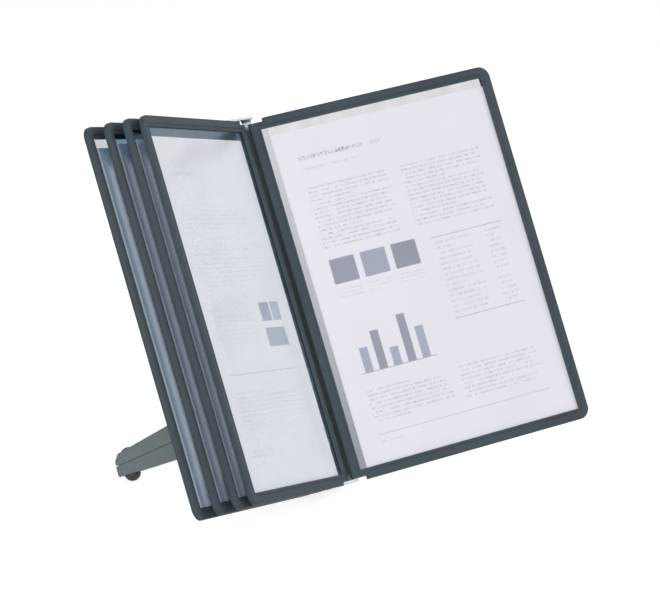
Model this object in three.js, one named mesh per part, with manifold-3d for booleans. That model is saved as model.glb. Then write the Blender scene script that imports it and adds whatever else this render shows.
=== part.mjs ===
import * as THREE from "three";
import { mergeVertices } from "three/addons/utils/BufferGeometryUtils.js";
import Module from "manifold-3d";

// A desktop reference display: five swinging leaves hinged in a leaning channel on two splayed legs.
// Millimetres. The channel, legs and leaves are drawn in the spine frame: x across, y back, z up along
// the spine, origin on the middle hinge axis at half height. The whole is then leant back on the desk.

const wasm = await Module();
wasm.setup();

// Sheet and window of a leaf
const sheetWidth = 210;
const sheetHeight = 297;
const sheetThickness = 0.2;
const sheetSideClearance = 6; // window is wider than the sheet
const sheetTopClearance = 7; // and taller
const sheetTuck = 0.6; // edge of the sheet held inside the frame's slot
const sheetSlides = [3, 3, 3, 0, 0]; // of each sheet towards the spine, by hinge from the left
const filmThickness = 0.3;
const layerGap = 0.3; // air between film, sheet and slot wall

// Leaf frame
const barWidth = 9.5;
const leafThickness = 4.8;
const leafCornerRadius = 10;
const frameEdgeRound = 0.7;
const frameSlotDepth = 3;
const filmEdgeClearance = 0.4;
const slitThickness = 1;
const slitSideMargin = 1.5;
const pinToWindow = 6.2; // hinge axis to the window's spine edge
const notchDepth = 3.2; // corner notches that bare the pins
const notchReach = 11;
const pinGrooveLength = 8; // open groove under the notch
const pinBoreLength = 8; // closed bore past the groove

// Hinge pins
const pinRadius = 0.85;
const pinTipRound = 0.3;
const pinTipSink = 0.3; // tip below the far face of the plate
const pinClearance = 0.3;
const pinPlateClearance = 0.15;

// Spine channel of bent sheet
const hingePitch = 13.4;
const hingeCount = 5;
const channelGauge = 2; // of the sheet that web, wings and plates are bent from
const upperPlateGap = 1.2; // leaf to upper plate, so that a leaf lifts off its lower pin
const lowerPlateGap = 0.3; // the leaves stand in their notches on the lower plate
const plateLip = 2; // plate in front of the hinge axes
const plateCornerRadius = 2.2;
const webFront = 9; // hinge axis to the inner face of the web
const wingOffset = 5.8; // outer hinge axis to the inner face of a side wing
const wingEndRelief = 5; // wing ends this far from the plates
const bendRadius = 1.2; // inside of each bend

// Lean of the spine and swing of the leaves, in degrees
const leanAngle = 22.5;
const leafSwings = [21.2, 23, 24.5, 25.5, 22.3]; // forward from square, left to right by hinge
const leafSides = [-1, -1, -1, -1, 1]; // four rest on the left, the last on the right

// Legs
const legSplay = 24.8; // degrees from straight back
const legLength = 156;
const legWidth = 15;
const legRootX = 14;
const legRootY = 25;
const legSeamRise = 87.1; // of the seam at the root, from the channel's bottom
const legSeamDrop = 16.3; // the seam falls this much to the end
const legRootHalf = 25;
const legEndHalf = 9.4;
const legSeamGap = 0.4;
const legEdgeRound = 0.8;
const legEndRound = 3.7; // of the end's upright corners
const legUpperChamfer = 5; // of the end's upper corner
const legLowerChamfer = 1;
const legWall = 2.4;
const legRootBlock = 14;
const legTipBlock = 24;
const legRibThickness = 2;
const legRibCount = 2;
const legScrewRise = 12.5; // of each root screw from the seam
const legScrewShift = 2; // root screws sit outward of the root's middle
const shellScrewBack = 34; // from the end of the leg
const shellScrewBoss = 5.6;

// Rubber half balls on the legs
const ballRadius = 7.4;
const ballSink = 1; // centre of the lower ball inside the leg's edge
const upperBallSink = 5.2;
const ballBack = 10.9; // from the end of the leg
const ballStemRadius = 2.4;
const ballStemLength = 4.5;

// Hub between channel and legs
const hubHalfWidth = 25;
const hubMargin = 2.5; // stands proud of the legs above and below
const hubEdgeRound = 1.5;
const hubCoreWidth = 12;
const hubCoreDepth = 10;

// Front foot and its pad
const footWidth = 56;
const footTopRise = 44.6; // from the channel's bottom
const footTopDepth = 6;
const footBandHeight = 15; // solid band that takes the screws
const footBack = -13; // along the desk, from below the mid spine
const footFront = -39;
const footWall = 3;
const footRibCount = 3;
const footHeel = 5;
const padThickness = 2.5;
const padInset = 1.5;
const footLowRise = 3.6; // front edge, from the channel's bottom

// Screws
const screwRadius = 2;
const screwTipRound = 0.4;
const screwHeadRadius = 3.8;
const screwHeadHeight = 1.6;
const screwRecess = 1.3;
const screwRecessRadius = 1.5;
const hubScrewLength = 26;
const footScrewLength = 9;
const footScrewEdge = 11; // from the foot's end
const footScrewDrop = 7; // from the foot's top
const shellScrewLength = 17;
const screwClearance = 0.3;

const seatGap = 0.3; // between pieces that rest on each other
const overrun = 1; // of a cut past the face it opens
const mergeTolerance = 1e-4;

const roundSteps = 6;
const edgeSteps = 3;
const pinSides = 16;
const ballSides = 24;
const screwSides = 20;
const recessSides = 6;

const radians = THREE.MathUtils.degToRad;
const lean = radians(leanAngle);
const splay = radians(legSplay);
const windowWidth = sheetWidth + sheetSideClearance;
const windowHeight = sheetHeight + sheetTopClearance;
const leafHalfHeight = windowHeight / 2 + barWidth;
const leafTail = pinToWindow - barWidth;
const leafReach = pinToWindow + windowWidth + barWidth;
const slotHalf = sheetThickness / 2 + layerGap + filmThickness + layerGap;
const notchFloor = leafHalfHeight - notchDepth;
const upperPlate = leafHalfHeight + upperPlateGap;
const channelTop = upperPlate + channelGauge;
const lowerPlate = -notchFloor - lowerPlateGap;
const channelBottom = lowerPlate - channelGauge;
const webBack = webFront + channelGauge;
const outerHinge = (hingePitch * (hingeCount - 1)) / 2;
const wingInner = outerHinge + wingOffset;
const wingOuter = wingInner + channelGauge;
const outerBend = bendRadius + channelGauge;
const legSeamRoot = channelBottom + legSeamRise;
const footTop = channelBottom + footTopRise;
const footLowEdge = channelBottom + footLowRise;
const screwHoleRadius = screwRadius + screwClearance;

const ballAlong = legLength - ballBack;
const ballHeight = legSeamAt(ballAlong) - legHalfAt(ballAlong) + ballSink;
const ballY = legRootY + ballAlong * Math.cos(splay);
const midHeight = ballRadius - ballHeight * Math.cos(lean) + ballY * Math.sin(lean);
const padMiddle = (footBack + footFront) / 2;

function legHalfAt(along) {
  return legRootHalf + ((legEndHalf - legRootHalf) * along) / legLength;
}

function legSeamAt(along) {
  return legSeamRoot - (legSeamDrop * along) / legLength;
}

// Solids from three.js geometry, and back
function solidOf(geometry) {
  const plain = geometry.index ? geometry.toNonIndexed() : geometry.clone();
  plain.deleteAttribute("normal");
  plain.deleteAttribute("uv");
  const merged = mergeVertices(plain, mergeTolerance);
  return new wasm.Manifold(
    new wasm.Mesh({
      numProp: 3,
      vertProperties: new Float32Array(merged.attributes.position.array),
      triVerts: new Uint32Array(merged.index.array),
    }),
  );
}

function geometryOf(solid) {
  const mesh = solid.getMesh();
  const geometry = new THREE.BufferGeometry();
  geometry.setAttribute("position", new THREE.BufferAttribute(mesh.vertProperties, 3));
  geometry.setIndex(new THREE.BufferAttribute(mesh.triVerts, 1));
  const flat = geometry.toNonIndexed();
  flat.computeVertexNormals();
  return flat;
}

function boxBetween(low, high) {
  const size = new THREE.Vector3().subVectors(high, low);
  const centre = new THREE.Vector3().addVectors(low, high).multiplyScalar(0.5);
  const geometry = new THREE.BoxGeometry(size.x, size.y, size.z);
  geometry.translate(centre.x, centre.y, centre.z);
  return geometry;
}

function at(x, y, z) {
  return new THREE.Vector3(x, y, z);
}

// A plate of the given outline in x and y, from low to high along z, with rounded long edges if asked
function slab(shape, low, high, round = 0) {
  const geometry = new THREE.ExtrudeGeometry(shape, {
    depth: high - low - 2 * round,
    bevelEnabled: round > 0,
    bevelThickness: round,
    bevelSize: round,
    bevelOffset: -round,
    bevelSegments: edgeSteps,
    curveSegments: roundSteps,
  });
  geometry.translate(0, 0, low + round);
  return geometry;
}

// The same for an outline drawn in y and z, extruded across x about the middle
function crossSlab(shape, halfWidth, round = 0) {
  const geometry = slab(shape, -halfWidth, halfWidth, round);
  return geometry.applyMatrix4(new THREE.Matrix4().makeBasis(at(0, 1, 0), at(0, 0, 1), at(1, 0, 0)));
}

function polygon(points) {
  return new THREE.Shape(points.map(([x, y]) => new THREE.Vector2(x, y)));
}

function rodAlongY(radius, low, high, sides) {
  const geometry = new THREE.CylinderGeometry(radius, radius, high - low, sides);
  return geometry.translate(0, (low + high) / 2, 0);
}

function rodAlongZ(radius, low, high, sides) {
  const geometry = new THREE.CylinderGeometry(radius, radius, high - low, sides);
  return geometry.rotateX(Math.PI / 2).translate(0, 0, (low + high) / 2);
}

// Materials
function finish(colour, roughness, metalness = 0) {
  return new THREE.MeshStandardMaterial({ color: colour, roughness, metalness });
}

const framePlastic = () => finish(0x485259, 0.45);
const legPlastic = () => finish(0x687274, 0.5);
const rubber = () => finish(0x383c3e, 0.75);
const sheetMetal = () => finish(0xd4d2d6, 0.35, 0.8);
const brightWire = () => finish(0xc6c8ca, 0.25, 1);
const zincSteel = () => finish(0xb4b6b8, 0.35, 1);
const paper = () => finish(0xe6e9f0, 0.9);

function clearFilm() {
  const material = finish(0xdfe6ee, 0.1);
  material.transparent = true;
  material.opacity = 0.25;
  return material;
}

function piece(name, geometry, material) {
  const mesh = new THREE.Mesh(geometry, material);
  mesh.name = name;
  return mesh;
}

// Leaf frame: local x runs from the hinge axis to the free edge, y through the thickness, z up
function frameOutline() {
  const shape = new THREE.Shape();
  const bend = leafReach - leafCornerRadius;
  const rise = leafHalfHeight - leafCornerRadius;
  shape.moveTo(leafTail, -notchFloor);
  shape.lineTo(notchReach, -notchFloor);
  shape.lineTo(notchReach, -leafHalfHeight);
  shape.absarc(bend, -rise, leafCornerRadius, -Math.PI / 2, 0);
  shape.absarc(bend, rise, leafCornerRadius, 0, Math.PI / 2);
  shape.lineTo(notchReach, leafHalfHeight);
  shape.lineTo(notchReach, notchFloor);
  shape.lineTo(leafTail, notchFloor);
  const window = polygon([
    [pinToWindow, -windowHeight / 2],
    [pinToWindow, windowHeight / 2],
    [pinToWindow + windowWidth, windowHeight / 2],
    [pinToWindow + windowWidth, -windowHeight / 2],
  ]);
  shape.holes.push(window);
  return shape;
}

function uprightSlab(shape, thickness, round = 0) {
  return slab(shape, -thickness / 2, thickness / 2, round).rotateX(Math.PI / 2);
}

function pinSeat(side) {
  const groove = pinRadius + pinClearance;
  const grooveEnd = notchFloor - pinGrooveLength;
  const open = boxBetween(
    at(-groove, -groove, grooveEnd),
    at(groove, leafThickness / 2 + overrun, notchFloor + overrun),
  );
  const bore = rodAlongZ(groove, grooveEnd - pinBoreLength, notchFloor, pinSides);
  const cut = solidOf(open).add(solidOf(bore));
  return side > 0 ? cut : cut.mirror([0, 0, 1]);
}

function leafFrame() {
  const body = solidOf(uprightSlab(frameOutline(), leafThickness, frameEdgeRound));
  const slot = boxBetween(
    at(pinToWindow - frameSlotDepth, -slotHalf, -windowHeight / 2 - frameSlotDepth),
    at(pinToWindow + windowWidth + frameSlotDepth, slotHalf, windowHeight / 2 + frameSlotDepth),
  );
  const slit = boxBetween(
    at(pinToWindow + slitSideMargin, -slitThickness / 2, windowHeight / 2),
    at(pinToWindow + windowWidth - slitSideMargin, slitThickness / 2, leafHalfHeight + overrun),
  );
  return geometryOf(
    body.subtract(solidOf(slot)).subtract(solidOf(slit)).subtract(pinSeat(1)).subtract(pinSeat(-1)),
  );
}

function leafFilm(side) {
  const tuck = frameSlotDepth - filmEdgeClearance;
  const near = sheetThickness / 2 + layerGap;
  const film = boxBetween(
    at(pinToWindow - tuck, near, -windowHeight / 2 - tuck),
    at(pinToWindow + windowWidth + tuck, near + filmThickness, windowHeight / 2 + tuck),
  );
  return side > 0 ? film : film.rotateZ(Math.PI).translate(2 * pinToWindow + windowWidth, 0, 0);
}

function leafSheet(slide) {
  const outer = pinToWindow + windowWidth + sheetTuck - slide;
  const low = -windowHeight / 2 - sheetTuck;
  return boxBetween(
    at(outer - sheetWidth, -sheetThickness / 2, low),
    at(outer, sheetThickness / 2, low + sheetHeight),
  );
}

// A wire pin: its root lies in the frame, its tip turns in the upper (side = 1) or lower plate
function hingePin(side) {
  const root = notchFloor - pinGrooveLength - pinBoreLength + pinClearance;
  const tip = (side > 0 ? channelTop : -channelBottom) - pinTipSink;
  const profile = [
    [0, root],
    [pinRadius, root],
    [pinRadius, tip - pinTipRound],
    [pinRadius - pinTipRound, tip],
    [0, tip],
  ].map(([r, z]) => new THREE.Vector2(r, z));
  const pin = new THREE.LatheGeometry(profile, pinSides).rotateX(Math.PI / 2);
  return side > 0 ? pin : pin.rotateX(Math.PI);
}

function leaf(index) {
  const name = `leaf_${index + 1}`;
  const swing = radians(leafSwings[index]);
  const turned = new THREE.Group();
  turned.position.x = index * hingePitch - outerHinge;
  turned.rotation.z = leafSides[index] > 0 ? -swing : Math.PI + swing;
  turned.add(
    piece(`${name}_frame`, leafFrame(), framePlastic()),
    piece(`${name}_front_film`, leafFilm(-leafSides[index]), clearFilm()),
    piece(`${name}_rear_film`, leafFilm(leafSides[index]), clearFilm()),
    piece(`${name}_printed_sheet`, leafSheet(sheetSlides[index]), paper()),
    piece(`${name}_upper_pin`, hingePin(1), brightWire()),
    piece(`${name}_lower_pin`, hingePin(-1), brightWire()),
  );
  return turned;
}

// Spine channel: web and side wings in one bend line, plates bent forward at both ends
function channelPlan() {
  const shape = new THREE.Shape();
  const front = wingFront();
  shape.moveTo(-wingOuter, front);
  shape.lineTo(-wingInner, front);
  shape.lineTo(-wingInner, webFront - bendRadius);
  shape.absarc(-wingInner + bendRadius, webFront - bendRadius, bendRadius, Math.PI, Math.PI / 2, true);
  shape.lineTo(wingInner - bendRadius, webFront);
  shape.absarc(wingInner - bendRadius, webFront - bendRadius, bendRadius, Math.PI / 2, 0, true);
  shape.lineTo(wingInner, front);
  shape.lineTo(wingOuter, front);
  shape.absarc(wingOuter - outerBend, webBack - outerBend, outerBend, 0, Math.PI / 2);
  shape.absarc(outerBend - wingOuter, webBack - outerBend, outerBend, Math.PI / 2, Math.PI);
  return shape;
}

// The wings are the stops: the rearmost leaf of each stack lies on their front edges
function wingFront() {
  const least = radians(Math.min(...leafSwings));
  return (leafThickness / 2 + seatGap) / Math.cos(least) - wingOffset * Math.tan(least);
}

function channelSide() {
  const shape = new THREE.Shape();
  const bend = webFront - bendRadius;
  const back = webBack - outerBend;
  shape.moveTo(-plateLip, upperPlate);
  shape.lineTo(bend, upperPlate);
  shape.absarc(bend, upperPlate - bendRadius, bendRadius, Math.PI / 2, 0, true);
  shape.absarc(bend, lowerPlate + bendRadius, bendRadius, 0, -Math.PI / 2, true);
  shape.lineTo(-plateLip, lowerPlate);
  shape.lineTo(-plateLip, channelBottom);
  shape.absarc(back, channelBottom + outerBend, outerBend, -Math.PI / 2, 0);
  shape.absarc(back, channelTop - outerBend, outerBend, 0, Math.PI / 2);
  shape.lineTo(-plateLip, channelTop);
  return shape;
}

// Outline of the plates from above: round front corners close to the outer pins, back corners as the bends
function plateOutline() {
  const shape = new THREE.Shape();
  const side = outerHinge + plateCornerRadius;
  const shoulder = plateCornerRadius - plateLip;
  const flare = wingOuter - side;
  shape.absarc(outerBend - wingOuter, webBack - outerBend, outerBend, Math.PI / 2, Math.PI);
  shape.lineTo(-wingOuter, shoulder + flare);
  shape.lineTo(-side, shoulder);
  shape.absarc(plateCornerRadius - side, shoulder, plateCornerRadius, Math.PI, 1.5 * Math.PI);
  shape.absarc(side - plateCornerRadius, shoulder, plateCornerRadius, -Math.PI / 2, 0);
  shape.lineTo(wingOuter, shoulder + flare);
  shape.absarc(wingOuter - outerBend, webBack - outerBend, outerBend, 0, Math.PI / 2);
  return shape;
}

function channel() {
  let body = solidOf(slab(channelPlan(), lowerPlate + wingEndRelief, upperPlate - wingEndRelief));
  const plates = solidOf(crossSlab(channelSide(), wingOuter));
  body = body.add(plates.intersect(solidOf(slab(plateOutline(), channelBottom, channelTop))));
  const hole = pinRadius + pinPlateClearance;
  for (let i = 0; i < hingeCount; i += 1) {
    const through = rodAlongZ(hole, channelBottom - overrun, channelTop + overrun, pinSides);
    body = body.subtract(solidOf(through.translate(i * hingePitch - outerHinge, 0, 0)));
  }
  for (const [x, z] of [...hubScrewPlaces(), ...footScrewPlaces()]) {
    const through = rodAlongY(screwHoleRadius, webFront - overrun, webBack + overrun, screwSides);
    body = body.subtract(solidOf(through.translate(x, 0, z)));
  }
  return geometryOf(body);
}

// Screws: a domed head with a six-sided recess on a plain shank, drawn along y with the head in front
function screw(length) {
  const dome = screwHeadHeight / 2;
  const profile = [
    [0, length],
    [screwRadius - screwTipRound, length],
    [screwRadius, length - screwTipRound],
    [screwRadius, 0],
    [screwHeadRadius, 0],
    [screwHeadRadius, -dome],
    [screwHeadRadius - dome, -screwHeadHeight],
    [0, -screwHeadHeight],
  ].map(([r, y]) => new THREE.Vector2(r, y));
  const body = solidOf(new THREE.LatheGeometry(profile.reverse(), screwSides));
  const recessEnd = screwRecess - screwHeadHeight;
  const recess = rodAlongY(screwRecessRadius, -screwHeadHeight - overrun, recessEnd, recessSides);
  return body.subtract(solidOf(recess));
}

function hubScrewPlaces() {
  const places = [];
  for (const side of [-1, 1]) {
    for (const rise of [-legScrewRise, legScrewRise]) {
      places.push([side * (legRootX + legScrewShift), legSeamRoot + rise]);
    }
  }
  return places;
}

function footScrewPlaces() {
  return [-1, 1].map((side) => [side * (footWidth / 2 - footScrewEdge), footTop - footScrewDrop]);
}

function webScrew(name, x, z, length) {
  const geometry = geometryOf(screw(length)).translate(x, webFront - seatGap, z);
  return piece(name, geometry, zincSteel());
}

// Legs are drawn along local y from the root, then splayed about the spine direction
function legProfile(half) {
  const seam = (along) => legSeamAt(along) + (half * legSeamGap) / 2;
  const edge = (along) => legSeamAt(along) + half * legHalfAt(along);
  const chamfer = half > 0 ? legUpperChamfer : legLowerChamfer;
  return polygon([
    [0, seam(0)],
    [legLength, seam(legLength)],
    [legLength, edge(legLength) - half * chamfer],
    [legLength - chamfer, edge(legLength - chamfer)],
    [0, edge(0)],
  ]);
}

function legPocket(half, from, to) {
  const mouth = (along) => legSeamAt(along) - half * overrun;
  const floor = (along) => legSeamAt(along) + half * (legHalfAt(along) - legWall);
  const shape = polygon([
    [from, mouth(from)],
    [to, mouth(to)],
    [to, floor(to)],
    [from, floor(from)],
  ]);
  return solidOf(crossSlab(shape, legWidth / 2 - legWall));
}

// Outline of a leg from above, with its round end
function legPlan() {
  const shape = new THREE.Shape();
  const half = legWidth / 2;
  const bend = legLength - legEndRound;
  shape.moveTo(-half, 0);
  shape.lineTo(half, 0);
  shape.absarc(half - legEndRound, bend, legEndRound, 0, Math.PI / 2);
  shape.absarc(legEndRound - half, bend, legEndRound, Math.PI / 2, Math.PI);
  return shape;
}

function legPlacement(side) {
  const group = new THREE.Group();
  group.position.set(side * legRootX, legRootY, 0);
  group.rotation.z = -side * splay;
  group.updateMatrix();
  return group;
}

function shellScrewPlace() {
  const along = legLength - shellScrewBack;
  const low = legSeamAt(along) - legHalfAt(along);
  return at(0, along, low + screwHeadHeight + screwClearance);
}

// Half ball: z = 0 is the leg's surface, the dome stands outward and the stem goes in
function halfBall(sink) {
  const rim = Math.asin((seatGap + sink) / ballRadius);
  const profile = [
    [0, -ballStemLength],
    [ballStemRadius, -ballStemLength],
    [ballStemRadius, seatGap],
  ];
  for (let i = 0; i <= roundSteps; i += 1) {
    const angle = rim + ((Math.PI / 2 - rim) * i) / roundSteps;
    profile.push([i < roundSteps ? ballRadius * Math.cos(angle) : 0, ballRadius * Math.sin(angle) - sink]);
  }
  const points = profile.map(([r, y]) => new THREE.Vector2(r, y));
  return new THREE.LatheGeometry(points, ballSides).rotateX(Math.PI / 2);
}

function ballPlacement(half) {
  const edge = (along) => legSeamAt(along) + half * legHalfAt(along);
  const slope = Math.atan((edge(legLength) - edge(0)) / legLength);
  const group = new THREE.Group();
  group.position.set(0, ballAlong, edge(ballAlong));
  group.rotation.x = half > 0 ? slope : slope + Math.PI;
  group.updateMatrix();
  return group;
}

// Upper (half = 1) or lower (half = -1) shell of a leg
function legShell(side, half) {
  const reach = legRootHalf + legSeamDrop;
  const plan = slab(legPlan(), legSeamRoot - reach, legSeamRoot + reach);
  const outer = solidOf(crossSlab(legProfile(half), legWidth / 2, legEdgeRound)).intersect(solidOf(plan));
  const span = legLength - legTipBlock - legRootBlock;
  const pocket = (span - legRibThickness * legRibCount) / (legRibCount + 1);
  let body = outer;
  for (let i = 0; i <= legRibCount; i += 1) {
    const from = legRootBlock + i * (pocket + legRibThickness);
    body = body.subtract(legPocket(half, from, from + pocket));
  }
  const seat = shellScrewPlace();
  const seam = legSeamAt(seat.y) + (half * legSeamGap) / 2;
  const edge = legSeamAt(seat.y) + half * legHalfAt(seat.y);
  const boss = rodAlongZ(shellScrewBoss, Math.min(seam, edge), Math.max(seam, edge), screwSides);
  body = body.add(solidOf(boss.translate(0, seat.y, 0)).intersect(outer));
  const hole = rodAlongZ(screwHoleRadius, seat.z, seat.z + shellScrewLength + screwClearance, screwSides);
  body = body.subtract(solidOf(hole.translate(0, seat.y, 0)));
  const headRadius = screwHeadRadius + screwClearance;
  const head = rodAlongZ(headRadius, seat.z - screwHeadHeight - overrun, seat.z + seatGap, screwSides);
  body = body.subtract(solidOf(head.translate(0, seat.y, 0)));
  const socket = rodAlongZ(ballStemRadius + seatGap, -ballStemLength - seatGap, overrun, ballSides);
  body = body.subtract(solidOf(socket.applyMatrix4(ballPlacement(half).matrix)));
  const toLeg = legPlacement(side).matrix.invert();
  const pilotEnd = webFront + hubScrewLength + screwClearance;
  for (const [x, z] of hubScrewPlaces()) {
    const pilot = rodAlongY(screwHoleRadius, webBack, pilotEnd, screwSides);
    body = body.subtract(solidOf(pilot.translate(x, 0, z).applyMatrix4(toLeg)));
  }
  return geometryOf(body);
}

function leg(side, name) {
  const group = legPlacement(side);
  const seat = shellScrewPlace();
  const shellScrew = geometryOf(screw(shellScrewLength)).rotateX(Math.PI / 2);
  shellScrew.translate(seat.x, seat.y, seat.z);
  group.add(
    piece(`${name}_upper_shell`, legShell(side, 1), legPlastic()),
    piece(`${name}_lower_shell`, legShell(side, -1), legPlastic()),
    piece(`${name}_shell_screw`, shellScrew, zincSteel()),
  );
  for (const [half, word, sink] of [[1, "upper", upperBallSink], [-1, "lower", ballSink]]) {
    const place = ballPlacement(half);
    place.add(piece(`${name}_${word}_ball_foot`, halfBall(sink), rubber()));
    group.add(place);
  }
  return group;
}

// Hub: a wedge on the web whose two back faces stand square to the legs
function hubBackAt(x) {
  return legRootY + Math.tan(splay) * (legRootX - x) - seatGap / Math.cos(splay);
}

function hub() {
  const front = webBack + seatGap;
  const plan = polygon([
    [-hubHalfWidth, front],
    [hubHalfWidth, front],
    [hubHalfWidth, hubBackAt(hubHalfWidth)],
    [0, hubBackAt(0)],
    [-hubHalfWidth, hubBackAt(hubHalfWidth)],
  ]);
  const top = legSeamRoot + legRootHalf + hubMargin;
  const bottom = legSeamRoot - legRootHalf - hubMargin;
  let body = solidOf(slab(plan, bottom, top, hubEdgeRound));
  const core = boxBetween(
    at(-hubCoreWidth / 2, front - overrun, bottom + hubMargin + legWall),
    at(hubCoreWidth / 2, front + hubCoreDepth, top - hubMargin - legWall),
  );
  body = body.subtract(solidOf(core));
  for (const [x, z] of hubScrewPlaces()) {
    const through = rodAlongY(screwHoleRadius, front - overrun, hubBackAt(0), screwSides);
    body = body.subtract(solidOf(through.translate(x, 0, z)));
  }
  return geometryOf(body);
}

// A point given along the desk from below the mid spine, and above the desk, in the spine frame
function deskPoint(along, above) {
  const drop = above - midHeight;
  return [along * Math.cos(lean) - drop * Math.sin(lean), along * Math.sin(lean) + drop * Math.cos(lean)];
}

function frontFoot() {
  const front = webBack + seatGap;
  const sole = padThickness + seatGap;
  const outline = polygon([
    [front, footTop],
    [front + footTopDepth, footTop],
    deskPoint(footBack, sole + footHeel),
    deskPoint(footBack, sole),
    deskPoint(footFront, sole),
    [front, footLowEdge],
  ]);
  const pocketTop = footTop - footBandHeight;
  const pocketShape = polygon([
    [front + footWall, pocketTop],
    [front + footWall, footLowEdge + footWall],
    deskPoint(footFront + footWall, sole + footWall),
    deskPoint(footBack - footWall, sole + footWall),
    deskPoint(footBack + overrun, sole + footHeel),
    [deskPoint(footBack + overrun, sole + footHeel)[0], pocketTop],
  ]);
  let body = solidOf(crossSlab(outline, footWidth / 2, hubEdgeRound));
  const pocket = (footWidth - footWall * (footRibCount + 2)) / (footRibCount + 1);
  for (let i = 0; i <= footRibCount; i += 1) {
    const cut = crossSlab(pocketShape, pocket / 2);
    const middle = (i - footRibCount / 2) * (pocket + footWall);
    body = body.subtract(solidOf(cut.translate(middle, 0, 0)));
  }
  const pilotEnd = webFront + footScrewLength + screwClearance;
  for (const [x, z] of footScrewPlaces()) {
    const pilot = rodAlongY(screwHoleRadius, webBack, pilotEnd, screwSides);
    body = body.subtract(solidOf(pilot.translate(x, 0, z)));
  }
  return geometryOf(body);
}

function footPad() {
  const outline = polygon([
    deskPoint(footFront + padInset, 0),
    deskPoint(footBack - padInset, 0),
    deskPoint(footBack - padInset, padThickness),
    deskPoint(footFront + padInset, padThickness),
  ]);
  return crossSlab(outline, footWidth / 2 - padInset);
}

const stand = new THREE.Group();
stand.rotation.x = -lean;
stand.position.set(0, -padMiddle, midHeight);
stand.add(
  piece("spine_channel", channel(), sheetMetal()),
  piece("leg_hub", hub(), legPlastic()),
  piece("front_foot", frontFoot(), legPlastic()),
  piece("front_foot_pad", footPad(), rubber()),
  leg(-1, "left_leg"),
  leg(1, "right_leg"),
);
hubScrewPlaces().forEach(([x, z], i) => {
  stand.add(webScrew(`hub_screw_${i + 1}`, x, z, hubScrewLength));
});
footScrewPlaces().forEach(([x, z], i) => {
  stand.add(webScrew(`front_foot_screw_${i + 1}`, x, z, footScrewLength));
});
for (let i = 0; i < hingeCount; i += 1) stand.add(leaf(i));

const display = new THREE.Group();
display.add(stand);
export default display;
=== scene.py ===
import math

import bmesh
import bpy
from mathutils import Matrix, Vector


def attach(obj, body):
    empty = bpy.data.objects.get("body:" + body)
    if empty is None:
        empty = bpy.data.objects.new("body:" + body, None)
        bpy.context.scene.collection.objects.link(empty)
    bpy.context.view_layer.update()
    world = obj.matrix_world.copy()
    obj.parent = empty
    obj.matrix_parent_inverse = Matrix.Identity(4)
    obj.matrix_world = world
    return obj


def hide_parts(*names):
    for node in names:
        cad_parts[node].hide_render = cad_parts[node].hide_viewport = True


# A desktop reference display: five swinging leaves hinged in a leaning channel on two splayed legs.
# Metres. Leaves are made flat in their own frame: x from the hinge axis to the free edge,
# y through the thickness, z up the spine. Then they are turned into their places.

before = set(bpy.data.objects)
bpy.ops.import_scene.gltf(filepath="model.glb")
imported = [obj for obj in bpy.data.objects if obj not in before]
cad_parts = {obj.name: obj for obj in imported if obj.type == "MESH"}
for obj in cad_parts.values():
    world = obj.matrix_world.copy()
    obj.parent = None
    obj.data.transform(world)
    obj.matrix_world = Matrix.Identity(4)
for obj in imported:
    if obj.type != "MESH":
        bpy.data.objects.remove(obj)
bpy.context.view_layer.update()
scene = bpy.context.scene
mm = 0.001
print("frame loaded, nodes:", len(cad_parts))

spine = {
    "lean": 22.5,
    "middle": (0, 0.026, 0.158053),
    "pitch": 13.4,  # mm between the hinges
    "firstHinge": -26.8,
}
spinePlace = Matrix.Translation(Vector(spine["middle"])) @ Matrix.Rotation(
    math.radians(-spine["lean"]), 4, "X"
)

leafSet = {
    "swings": (21.2, 23, 24.5, 25.5, 22.3),  # degrees forward from square
    "sides": (-1, -1, -1, -1, 1),
    "windowX": 6.2 * mm,  # hinge axis to the window's spine edge
    "windowWidth": 216 * mm,
    "windowHalf": 152 * mm,
    "bar": 9.5 * mm,
    "halfThickness": 2.4 * mm,
    "cornerRadius": 10 * mm,
}


def leafPlace(index):
    swing = math.radians(leafSet["swings"][index])
    turn = -swing if leafSet["sides"][index] > 0 else math.pi + swing
    hinge = (spine["firstHinge"] + index * spine["pitch"]) * mm
    return spinePlace @ Matrix.Translation((hinge, 0, 0)) @ Matrix.Rotation(turn, 4, "Z")


# Camera at the photograph's angle
view = {
    "place": (-2.17893, -2.05162, 0.769056),
    "turn": (78.69, 0, -47.14),  # degrees: tipped down 11.31 and turned to the right
    "lens": 197.33,
    "sensor": 36,
    "clip": (0.05, 60),
}


def makeCamera():
    camera = bpy.data.objects.new("camera", bpy.data.cameras.new("camera"))
    scene.collection.objects.link(camera)
    camera.location = view["place"]
    camera.rotation_euler = [math.radians(turn) for turn in view["turn"]]
    camera.data.lens = view["lens"]
    camera.data.sensor_width = view["sensor"]
    camera.data.clip_start, camera.data.clip_end = view["clip"]
    scene.camera = camera


makeCamera()

# Node helpers


# A socket takes a link, a plain value, or a colour given without its alpha
def feed(tree, socket, value):
    if isinstance(value, bpy.types.NodeSocket):
        tree.links.new(value, socket)
    elif socket.type == "RGBA":
        socket.default_value = (*value, 1)
    else:
        socket.default_value = value


def addNode(tree, kind, **inputs):
    node = tree.nodes.new("ShaderNode" + kind)
    for label, value in inputs.items():
        feed(tree, node.inputs[label], value)
    return node


def calc(tree, operation, *values):
    node = addNode(tree, "Math")
    node.operation = operation
    for i, value in enumerate(values):
        feed(tree, node.inputs[i], value)
    return node.outputs[0]


def plus(tree, first, second):
    return calc(tree, "ADD", first, second)


def minus(tree, first, second):
    return calc(tree, "SUBTRACT", first, second)


def times(tree, first, second):
    return calc(tree, "MULTIPLY", first, second)


def isLess(tree, first, second):
    return calc(tree, "LESS_THAN", first, second)


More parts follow.
